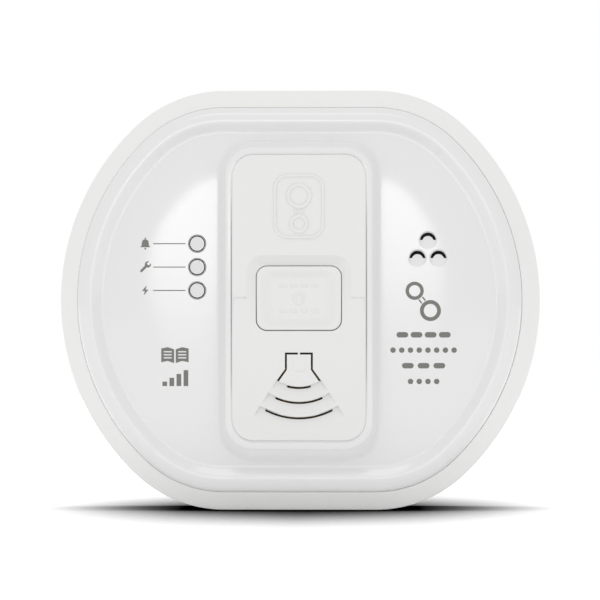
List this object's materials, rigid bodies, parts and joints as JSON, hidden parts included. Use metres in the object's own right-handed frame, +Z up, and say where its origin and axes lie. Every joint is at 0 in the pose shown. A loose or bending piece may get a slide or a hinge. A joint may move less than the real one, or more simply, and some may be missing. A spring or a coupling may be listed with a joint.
{
  "type": "carbon monoxide detector",
  "caption": "Round white carbon monoxide alarm with flat top and bottom, a raised centre panel with a press button and sounder grille, and a slide-on wall plate.",
  "frame": {"origin": "middle of the flat bottom, on the surface that it stands on", "axes": "+X to the right seen from the front, the front faces -Y, the mounting plate's wall face is on +Y, +Z up"},
  "size_m": [0.12, 0.044, 0.105],
  "materials": {
    "matt_white_plastic": "fine texture",
    "gloss_white_plastic": "gloss",
    "satin_white_plastic": "satin",
    "frosted_plastic": "frosted",
    "board_laminate": "solder mask",
    "nickel_can": "drawn metal",
    "black_plastic": "moulded",
    "foam": "foam",
    "steel_mesh": "woven",
    "tinned_metal": "tinned",
    "brass": "rolled",
    "ceramic": "fired",
    "battery_sleeve": "shrink sleeve",
    "red_lens": "clear tinted",
    "amber_lens": "clear tinted",
    "green_lens": "clear tinted",
    "capacitor_sleeve": "shrink sleeve",
    "ferrite": "sintered",
    "grey_plastic": "moulded",
    "zinc_plated_steel": "zinc plated"
  },
  "bodies": {
    "housing": {"back_cover": "matt_white_plastic", "front_cover": "gloss_white_plastic", "centre_panel": "satin_white_plastic", "light_pipe": "frosted_plastic", "circuit_board": "board_laminate", "co_sensor_can": "nickel_can", "co_sensor_cap": "black_plastic", "sensor_gasket": "foam", "dust_screen": "steel_mesh", "sensor_pins": "tinned_metal", "sounder_horn": "black_plastic", "piezo_disc": "brass", "piezo_ceramic": "ceramic", "sounder_contacts": "tinned_metal", "battery_cell": "battery_sleeve", "battery_tabs": "tinned_metal", "test_switch_body": "black_plastic", "alarm_led": "red_lens", "fault_led": "amber_lens", "power_led": "green_lens", "microcontroller": "black_plastic", "storage_capacitor": "capacitor_sleeve", "boost_coil": "ferrite", "chip_components": "ceramic", "power_switch_body": "black_plastic", "case_screws": "zinc_plated_steel"},
    "button": {"test_button": "satin_white_plastic"},
    "switch_plunger": {"test_switch_plunger": "black_plastic"},
    "wall_plate": {"mounting_plate": "matt_white_plastic"},
    "on_plunger": {"power_plunger": "grey_plastic"}
  },
  "joints": [
    {"name": "test_button_press", "type": "slide", "parent": "housing", "child": "button", "axis": [0, 1, 0], "range_m": [0, 0.0006], "stiffness_N_per_m": 4000, "springref_m": -0.0005},
    {"name": "test_switch_press", "type": "slide", "parent": "housing", "child": "switch_plunger", "axis": [0, 1, 0], "range_m": [0, 0.0006]},
    {"name": "mounting_plate_slide", "type": "slide", "parent": "housing", "child": "wall_plate", "axis": [0, 0, -1], "range_m": [0, 0.008]},
    {"name": "power_plunger_slide", "type": "slide", "parent": "housing", "child": "on_plunger", "axis": [0, 1, 0], "range_m": [0, 0.002]}
  ],
  "couplings": [
    {"joint": "test_switch_press", "follows": "test_button_press", "ratio": 1},
    {"joint": "power_plunger_slide", "follows": "mounting_plate_slide", "ratio": 0.25}
  ]
}
